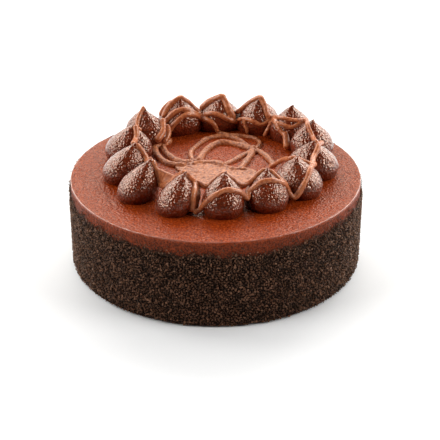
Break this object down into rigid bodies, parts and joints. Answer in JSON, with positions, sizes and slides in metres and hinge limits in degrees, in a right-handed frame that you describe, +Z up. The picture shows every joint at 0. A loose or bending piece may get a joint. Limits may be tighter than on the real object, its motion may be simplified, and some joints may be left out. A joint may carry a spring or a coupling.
{
  "type": "chocolate torte",
  "caption": "Round chocolate torte with crumbed sides, a smooth iced top and a ring of piped ganache kisses under milk-chocolate drizzle.",
  "frame": {"origin": "centre of the flat base, on the surface the cake stands on", "axes": "+Z up from the base; the front, towards the picture's camera, is -Y; +X is to the right seen from the front"},
  "size_m": [0.2041, 0.2043, 0.0887],
  "materials": {
    "cream": "matte chocolate cream icing",
    "crumbs": "matte, craggy dark chocolate crumbs",
    "ganache": "satin, finely pebbled dark ganache",
    "drizzle": "satin milk chocolate"
  },
  "bodies": {
    "root": {"iced_cake": "cream", "crumb_coat": "crumbs", "kiss_01": "ganache", "kiss_02": "ganache", "kiss_03": "ganache", "kiss_04": "ganache", "kiss_05": "ganache", "kiss_06": "ganache", "kiss_07": "ganache", "kiss_08": "ganache", "kiss_09": "ganache", "kiss_10": "ganache", "kiss_11": "ganache", "kiss_12": "ganache", "kiss_13": "ganache", "kiss_14": "ganache"}
  },
  "joints": []
}
